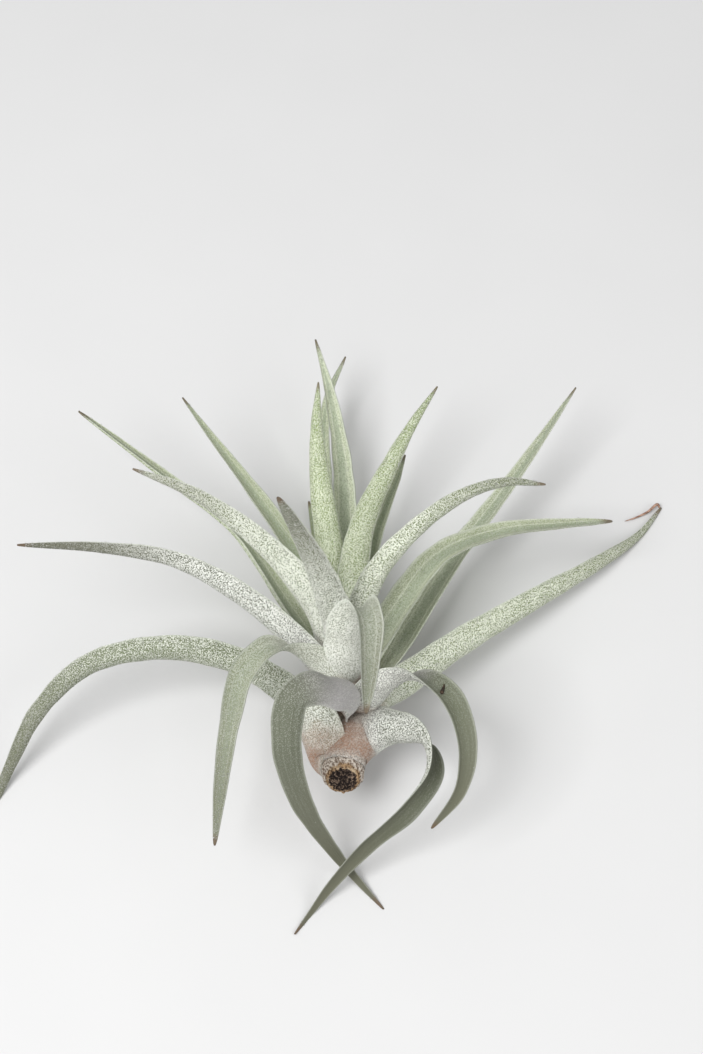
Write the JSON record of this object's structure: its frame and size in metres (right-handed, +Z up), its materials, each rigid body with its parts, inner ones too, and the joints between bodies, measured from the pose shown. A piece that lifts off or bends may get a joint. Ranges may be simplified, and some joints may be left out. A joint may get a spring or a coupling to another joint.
{
  "type": "air plant",
  "caption": "Rosette of narrow, channelled, silvery grey-green leaves that arch and curl from a short woody stem with a cut end, lying on its lowest leaf tips.",
  "frame": {"origin": "on the surface the plant lies on, below the middle of its bounding box", "axes": "+Z up from the surface; the crown lies towards +Y, away from the stem's cut end, which faces -Y and up; +X is to the right as seen from the cut end"},
  "size_m": [0.1952, 0.1776, 0.0882],
  "materials": {
    "bark": "rough, dry bark round a dark, porous cut end",
    "leaf": "matt grey-green blade under a fine, silvery coat of scales, denser on the outer face"
  },
  "bodies": {
    "root": {"stem": "bark", "leaf_01_front_right": "leaf", "leaf_02_far_left_low": "leaf", "leaf_03_far_right_low": "leaf", "leaf_04_front_left": "leaf", "leaf_05_right_hook": "leaf", "leaf_06_left_hook": "leaf", "leaf_07_far_left": "leaf", "leaf_08_back_right": "leaf", "leaf_09_front_folded": "leaf", "leaf_10_back_left": "leaf", "leaf_11_right_wide": "leaf", "leaf_12_left": "leaf", "leaf_13_front_short": "leaf", "leaf_14_right_arched": "leaf", "leaf_15_back_left_high": "leaf", "leaf_16_back_low": "leaf", "leaf_17_top_right": "leaf", "leaf_18_top_left": "leaf", "leaf_19_top_right_inner": "leaf", "leaf_20_top_tall": "leaf", "leaf_21_top_inner": "leaf"}
  },
  "joints": []
}
